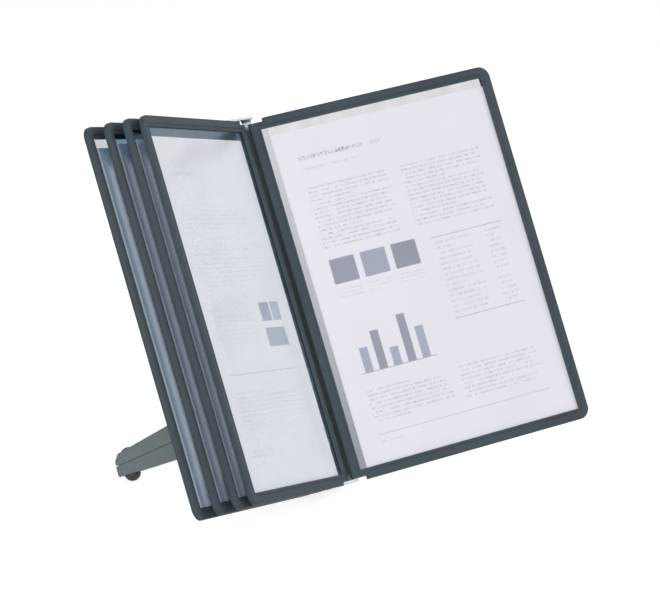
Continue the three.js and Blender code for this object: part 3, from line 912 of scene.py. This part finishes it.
stand = {
    "gauge": 2,
    "upperPlate": 162.7,  # inner faces of the two plates, along the spine
    "lowerPlate": -158.6,
    "plateFront": -2,
    "plateCorner": 2.2,
    "webFront": 9,
    "wingInner": 32.6,
    "wingFront": 0.65,
    "wingRelief": 5,
    "bend": 1.2,
    "edgeRound": 0.3,  # which the short edges of the bends cut down
    "edgeSteps": 2,
    "pinHole": 1,
    "screwHole": 2.3,
    "holeSides": 24,
    "overrun": 1,  # of a cutter past the face it opens
    "seamRoot": -73.5,
    "seat": 0.3,  # gap between pieces that rest on each other
}
webBack = stand["webFront"] + stand["gauge"]
channelBottom = stand["lowerPlate"] - stand["gauge"]


# A solid of the outline given in two axes, grown along the third: "z" takes x, y and "x" takes y, z
def prismMesh(outline, low, high, along="z"):
    bm = bmesh.new()
    upward = along == "z"
    ring = [bm.verts.new((a, b, low) if upward else (low, a, b)) for a, b in outline]
    grow = (0, 0, high - low) if upward else (high - low, 0, 0)
    grown = bmesh.ops.extrude_face_region(bm, geom=[bm.faces.new(ring)])["geom"]
    bmesh.ops.translate(bm, vec=grow, verts=vertsIn(grown))
    return facedOut(bm)


def arcPoints(x, y, radius, start, end, steps=10):
    turns = [math.radians(start + (end - start) * i / steps) for i in range(steps + 1)]
    return [(x + radius * math.cos(t), y + radius * math.sin(t)) for t in turns]


# Merges corners that all but coincide, which would upset the next cut
def mended(bm):
    bmesh.ops.remove_doubles(bm, verts=bm.verts, dist=0.01)
    bmesh.ops.dissolve_degenerate(bm, dist=0.001, edges=bm.edges)
    return facedOut(bm)


def joined(bm, other, operation):
    bm = combine(bm, [other], operation)
    bmesh.ops.dissolve_limit(bm, angle_limit=0.01, verts=bm.verts, edges=bm.edges)
    return mended(bm)


def spinMesh(profile, steps):
    bm = bmesh.new()
    ring = [bm.verts.new((r, 0, z)) for r, z in profile]
    edges = [bm.edges.new((ring[i], ring[i + 1])) for i in range(len(ring) - 1)]
    bmesh.ops.spin(
        bm, geom=ring + edges, cent=(0, 0, 0), axis=(0, 0, 1), angle=math.tau, steps=steps, use_merge=True
    )
    bmesh.ops.remove_doubles(bm, verts=bm.verts, dist=1e-5)
    return facedOut(bm)


def rodAt(radius, sides, matrix, low, high):
    bm = rodMesh(radius, low, high, sides)
    bmesh.ops.transform(bm, matrix=matrix, verts=bm.verts)
    return bm


def alongY(x, z):
    return Matrix.Translation((x, 0, z)) @ Matrix.Rotation(-math.pi / 2, 4, "X")


def standPiece(bm, name, node, material, place=standPlace):
    addPiece(bm, name, place, material, "stand", node)


# Screws: domed head with a six-sided recess; the head's underside is at 0 and the shank goes along y
screwShape = {
    "radius": 2,
    "head": 3.8,
    "headHeight": 1.6,
    "rim": 0.6,  # height of the head's straight side
    "rimRound": 0.15,
    "domeSteps": 8,
    "sides": 36,
    "recess": 1.5,
    "recessDepth": 1.3,
    "recessSides": 6,
    "tipRound": 0.4,
    "clearance": 0.3,
    "hubLength": 26,
    "hubAcross": 16,
    "hubRise": 12.5,  # from the seam
    "footLength": 9,
    "footAcross": 17,
    "footRise": 37.6,  # from the channel's bottom
    "shellLength": 17,
}


def screwMesh(length):
    s = screwShape
    quarter = [math.pi / 2 * i / s["domeSteps"] for i in range(s["domeSteps"])]
    dome = s["headHeight"] - s["rim"]
    crown = [(s["head"] * math.cos(t), s["rim"] + dome * math.sin(t)) for t in quarter]
    profile = [
        (0, -length), (s["radius"] - s["tipRound"], -length), (s["radius"], s["tipRound"] - length),
        (s["radius"], 0), (s["head"] - s["rimRound"], 0), (s["head"], s["rimRound"]),
        *crown, (0, s["headHeight"]),
    ]
    low, high = s["headHeight"] - s["recessDepth"], s["headHeight"] + stand["overrun"]
    bm = cutAway(spinMesh(profile, s["sides"]), [rodMesh(s["recess"], low, high, s["recessSides"])])
    tipOver(bm, math.pi / 2)
    return bm


hubScrews = [
    (side * screwShape["hubAcross"], stand["seamRoot"] + rise * screwShape["hubRise"])
    for side in (-1, 1) for rise in (-1, 1)
]
footScrews = [(side * screwShape["footAcross"], channelBottom + screwShape["footRise"]) for side in (-1, 1)]


def addWebScrews(node, places, length):
    for i, (x, z) in enumerate(places):
        place = standPlace @ Matrix.Translation((x, stand["webFront"] - stand["seat"], z))
        name = f"{node}_{i + 1}"
        standPiece(screwMesh(length), name + "_domed", name, zincScrew, place)


addWebScrews("hub_screw", hubScrews, screwShape["hubLength"])
addWebScrews("front_foot_screw", footScrews, screwShape["footLength"])


# Spine channel: web and wings in one bent section, plates bent forward at both ends
def channelMesh():
    s = stand
    bend = s["bend"]
    outerBend = bend + s["gauge"]
    wing = s["wingInner"] + s["gauge"]
    top = s["upperPlate"] + s["gauge"]
    inBack = s["webFront"] - bend
    outBack = webBack - outerBend
    rightBend = arcPoints(wing - outerBend, outBack, outerBend, 0, 90)
    leftBend = arcPoints(outerBend - wing, outBack, outerBend, 90, 180)
    plan = [
        (-wing, s["wingFront"]), (-s["wingInner"], s["wingFront"]),
        *arcPoints(bend - s["wingInner"], inBack, bend, 180, 90),
        *arcPoints(s["wingInner"] - bend, inBack, bend, 90, 0),
        (s["wingInner"], s["wingFront"]), (wing, s["wingFront"]), *rightBend, *leftBend,
    ]
    section = prismMesh(plan, s["lowerPlate"] + s["wingRelief"], s["upperPlate"] - s["wingRelief"])
    side = [
        (s["plateFront"], s["upperPlate"]),
        *arcPoints(inBack, s["upperPlate"] - bend, bend, 90, 0),
        *arcPoints(inBack, s["lowerPlate"] + bend, bend, 0, -90),
        (s["plateFront"], s["lowerPlate"]), (s["plateFront"], channelBottom),
        *arcPoints(outBack, channelBottom + outerBend, outerBend, -90, 0),
        *arcPoints(outBack, top - outerBend, outerBend, 0, 90),
        (s["plateFront"], top),
    ]
    corner = s["plateCorner"]
    half = corner - spine["firstHinge"]
    frontBack = corner + s["plateFront"]
    shoulder = frontBack + wing - half
    above = [
        *leftBend, (-wing, shoulder), *arcPoints(corner - half, frontBack, corner, 180, 270),
        *arcPoints(half - corner, frontBack, corner, -90, 0), (wing, shoulder), *rightBend,
    ]
    plates = joined(prismMesh(side, -wing, wing, "x"), prismMesh(above, channelBottom, top), "INTERSECT")
    bm = joined(section, plates, "UNION")
    roundEdges(bm, s["edgeRound"], s["edgeSteps"], 50)
    mended(bm)
    over = s["overrun"]
    cutters = []
    for i in range(len(leafSet["swings"])):
        hinge = Matrix.Translation((spine["firstHinge"] + i * spine["pitch"], 0, 0))
        for low in (channelBottom - over, top - 2 * s["gauge"] + over):
            cutters.append(rodAt(s["pinHole"], s["holeSides"], hinge, low, low + 2 * s["gauge"]))
    for x, z in (*hubScrews, *footScrews):
        cutters.append(
            rodAt(s["screwHole"], s["holeSides"], alongY(x, z), s["webFront"] - over, webBack + over)
        )
    return cutAway(bm, cutters)


standPiece(channelMesh(), "bent_sheet_channel", "spine_channel", channelMetal)

# Hub: a wedge on the web whose two back faces stand square to the legs.
# Legs: two shells meeting at a seam, drawn along local y from the root.
hubShape = {"half": 25, "margin": 2.5, "round": 1.5, "roundSteps": 4}
legShape = {
    "splay": 24.8,
    "rootX": 14,
    "rootY": 25,
    "length": 155.75,
    "halfWidth": 7.5,
    "rootHalf": 25,
    "endHalf": 9.4,
    "seamDrop": 16.3,
    "seamGap": 0.4,
    "endRound": 3.7,
    "endSteps": 6,
    "upperChamfer": 5,
    "lowerChamfer": 1,
    "edgeRound": 1.3,
    "edgeSteps": 3,
    "arris": 0.2,  # bevel on the edges left sharp
    "near": 0.01,
    "screwBack": 33.75,
    "wellDepth": 12,
    "boreLength": 9,
    "ballBack": 10.65,
}


def hubMesh():
    s = legShape
    splay = math.radians(s["splay"])

    def backAt(x):
        return s["rootY"] + math.tan(splay) * (s["rootX"] - x) - stand["seat"] / math.cos(splay)

    half = hubShape["half"]
    front = webBack + stand["seat"]
    reach = s["rootHalf"] + hubShape["margin"]
    plan = [(-half, front), (half, front), (half, backAt(half)), (0, backAt(0)), (-half, backAt(half))]
    bm = prismMesh(plan, stand["seamRoot"] - reach, stand["seamRoot"] + reach)
    roundEdges(bm, hubShape["round"], hubShape["roundSteps"])
    return bm


standPiece(hubMesh(), "moulded_hub", "leg_hub", legPlastic)


def legHalfAt(along):
    return legShape["rootHalf"] + (legShape["endHalf"] - legShape["rootHalf"]) * along / legShape["length"]


def seamAt(along):
    return stand["seamRoot"] - legShape["seamDrop"] * along / legShape["length"]


def edgeAt(along, half):
    return seamAt(along) + half * legHalfAt(along)


def screwSeat():
    along = legShape["length"] - legShape["screwBack"]
    return Vector((0, along, edgeAt(along, -1) + screwShape["headHeight"] + stand["seat"]))


def shellMesh(half):
    s = legShape
    end = s["length"]
    near = s["near"]
    gap = half * s["seamGap"] / 2
    chamfer = s["upperChamfer"] if half > 0 else s["lowerChamfer"]
    outline = [
        (0, seamAt(0) + gap), (end, seamAt(end) + gap), (end, edgeAt(end, half) - half * chamfer),
        (end - chamfer, edgeAt(end - chamfer, half)), (0, edgeAt(0, half)),
    ]
    bm = prismMesh(outline, -s["halfWidth"], s["halfWidth"], "x")

    def upright(e):
        return all(abs(v.co.y - end) < near and abs(abs(v.co.x) - s["halfWidth"]) < near for v in e.verts)

    def isOuter(e):
        onSeam = all(abs(v.co.z - seamAt(v.co.y) - gap) < near for v in e.verts)
        return not onSeam and not all(v.co.y < near for v in e.verts)

    roundEdges(bm, s["endRound"], s["endSteps"], pick=upright)
    roundEdges(bm, s["edgeRound"], s["edgeSteps"], pick=isOuter)
    roundEdges(bm, s["arris"], 1, 60)
    if half > 0:
        return bm
    head = Matrix.Translation(screwSeat())
    room = screwShape["clearance"]
    well = rodAt(screwShape["head"] + room, screwShape["sides"], head, -s["wellDepth"], stand["seat"])
    bore = rodAt(screwShape["radius"] + room, stand["holeSides"], head, 0, s["boreLength"])
    return cutAway(bm, [well, bore])


# Rubber half balls with a stem in the leg
ballShape = {
    "radius": 7.4,
    "sinks": {1: 5.2, -1: 1},
    "stem": 2.4,
    "stemLength": 4.5,
    "rimRound": 0.25,
    "steps": 14,
    "sides": 48,
}


def ballMesh(half):
    s = ballShape
    sink = s["sinks"][half]
    seat = stand["seat"]
    rim = math.asin((seat + sink) / s["radius"])
    profile = [
        (0, -s["stemLength"]), (s["stem"], -s["stemLength"]), (s["stem"], seat),
        (s["radius"] * math.cos(rim) - s["rimRound"], seat),
    ]
    for i in range(1, s["steps"]):
        turn = rim + (math.pi / 2 - rim) * i / s["steps"]
        profile.append((s["radius"] * math.cos(turn), s["radius"] * math.sin(turn) - sink))
    return spinMesh([*profile, (0, s["radius"] - sink)], s["sides"])


def ballPlace(half):
    end = legShape["length"]
    along = end - legShape["ballBack"]
    slope = math.atan((edgeAt(end, half) - edgeAt(0, half)) / end)
    turn = slope if half > 0 else slope + math.pi
    return Matrix.Translation((0, along, edgeAt(along, half))) @ Matrix.Rotation(turn, 4, "X")


def addLeg(side, word):
    place = standPlace @ Matrix.Translation((side * legShape["rootX"], legShape["rootY"], 0))
    place = place @ Matrix.Rotation(math.radians(-side * legShape["splay"]), 4, "Z")
    for half, level in ((1, "upper"), (-1, "lower")):
        leg = f"{word}_leg_{level}"
        standPiece(shellMesh(half), leg + "_moulding", leg + "_shell", legPlastic, place)
        ball = place @ ballPlace(half)
        standPiece(ballMesh(half), leg + "_rubber_ball", leg + "_ball_foot", rubber, ball)
    node = f"{word}_leg_shell_screw"
    below = place @ Matrix.Translation(screwSeat()) @ Matrix.Rotation(math.pi / 2, 4, "X")
    standPiece(screwMesh(screwShape["shellLength"]), node + "_domed", node, zincScrew, below)


addLeg(-1, "left")
addLeg(1, "right")

# Front foot: a ribbed wedge under the channel, and its pad
footShape = {
    "halfWidth": 28,
    "top": 44.6,  # from the channel's bottom
    "topDepth": 6,
    "band": 15,
    "back": -13,  # along the desk
    "front": -39,
    "wall": 3,
    "ribs": 3,
    "heel": 5,
    "lowRise": 3.6,
    "round": 1.5,
    "roundSteps": 4,
    "pad": 2.5,
    "padInset": 1.5,
    "padRound": 0.5,
    "padSteps": 3,
}


def deskPoint(along, above):
    lean = math.radians(spine["lean"])
    drop = above - spine["middle"][2] / mm
    return along * math.cos(lean) - drop * math.sin(lean), along * math.sin(lean) + drop * math.cos(lean)


def footMesh():
    s = footShape
    wall = s["wall"]
    front = webBack + stand["seat"]
    top = channelBottom + s["top"]
    low = channelBottom + s["lowRise"]
    sole = s["pad"] + stand["seat"]
    outline = [
        (front, top), (front + s["topDepth"], top), deskPoint(s["back"], sole + s["heel"]),
        deskPoint(s["back"], sole), deskPoint(s["front"], sole), (front, low),
    ]
    bm = prismMesh(outline, -s["halfWidth"], s["halfWidth"], "x")
    roundEdges(bm, s["round"], s["roundSteps"], 15)
    mouth = deskPoint(s["back"] + stand["overrun"], sole + s["heel"])
    pocket = [
        (front + wall, top - s["band"]), (front + wall, low + wall),
        deskPoint(s["front"] + wall, sole + wall), deskPoint(s["back"] - wall, sole + wall),
        mouth, (mouth[0], top - s["band"]),
    ]
    width = (2 * s["halfWidth"] - wall * (s["ribs"] + 2)) / (s["ribs"] + 1)
    cutters = []
    for i in range(s["ribs"] + 1):
        middle = (i - s["ribs"] / 2) * (width + wall)
        cutters.append(prismMesh(pocket, middle - width / 2, middle + width / 2, "x"))
    return cutAway(bm, cutters)


def padMesh():
    s = footShape
    front, back = s["front"] + s["padInset"], s["back"] - s["padInset"]
    half = s["halfWidth"] - s["padInset"]
    corners = ((front, 0), (back, 0), (back, s["pad"]), (front, s["pad"]))
    bm = prismMesh([deskPoint(*corner) for corner in corners], -half, half, "x")
    roundEdges(bm, s["padRound"], s["padSteps"])
    return bm


standPiece(footMesh(), "ribbed_foot", "front_foot", legPlastic)
standPiece(padMesh(), "rubber_sole", "front_foot_pad", rubber)
print("stand made")

# Plain pale floor and white background, soft studio light
studio = {
    "floorSize": 30,
    "floorTone": (0.80, 0.80, 0.80),
    "seenTone": (0.4, 0.4, 0.4),  # and glow, where the floor is seen rather than lights the object
    "glow": 0.83,
    "worldLight": 0.33,  # and 1 where it is seen
    "target": (0, -0.05, 0.2),  # that the lamps point at
}


# 1 for what the camera sees itself, in a reflection or through film
def isSeen(tree):
    path = addNode(tree, "LightPath").outputs
    share = calc(tree, "MAXIMUM", path["Is Camera Ray"], path["Is Glossy Ray"])
    return calc(tree, "MAXIMUM", share, path["Is Transmission Ray"])


def makeStage():
    bm = bmesh.new()
    bmesh.ops.create_grid(bm, x_segments=1, y_segments=1, size=studio["floorSize"])
    material, tree, shader = newMaterial("floor", Base_Color=studio["floorTone"], Roughness=0.9)
    both = addNode(tree, "AddShader")
    feed(tree, both.inputs[0], addNode(tree, "BsdfDiffuse", Color=studio["seenTone"]).outputs[0])
    feed(tree, both.inputs[1], addNode(tree, "Emission", Strength=studio["glow"]).outputs[0])
    showMix(tree, isSeen(tree), shader, both)
    floor = finishMesh(bm, "floor", Matrix(), material)


def makeWorld():
    world = bpy.data.worlds.new("studio")
    world.use_nodes = True
    scene.world = world
    tree = world.node_tree
    background = tree.nodes["Background"]
    feed(tree, background.inputs["Color"], (1, 1, 1))
    feed(tree, background.inputs["Strength"], remap(tree, isSeen(tree), 0, 1, studio["worldLight"], 1))


lamps = {
    "key": {"place": (-2.63, -1.91, 1.2), "size": 1.3, "power": 72},
    "front": {"place": (-0.7, -2.7, 1.9), "size": 1.8, "power": 5},
    "fill": {"place": (2.2, -1.6, 1.3), "size": 2.2, "power": 38},
    "back": {"place": (0.6, 2.2, 2.0), "size": 1.8, "power": 12},
}


def makeLamps():
    for name, lamp in lamps.items():
        light = bpy.data.lights.new(name, "AREA")
        light.energy = lamp["power"]
        light.size = lamp["size"]
        made = bpy.data.objects.new(name, light)
        scene.collection.objects.link(made)
        made.location = lamp["place"]
        ahead = Vector(studio["target"]) - made.location
        made.rotation_euler = ahead.to_track_quat("-Z", "Y").to_euler()


makeStage()
makeWorld()
makeLamps()
scene.view_settings.view_transform = "Standard"
print("stage and lamps made")
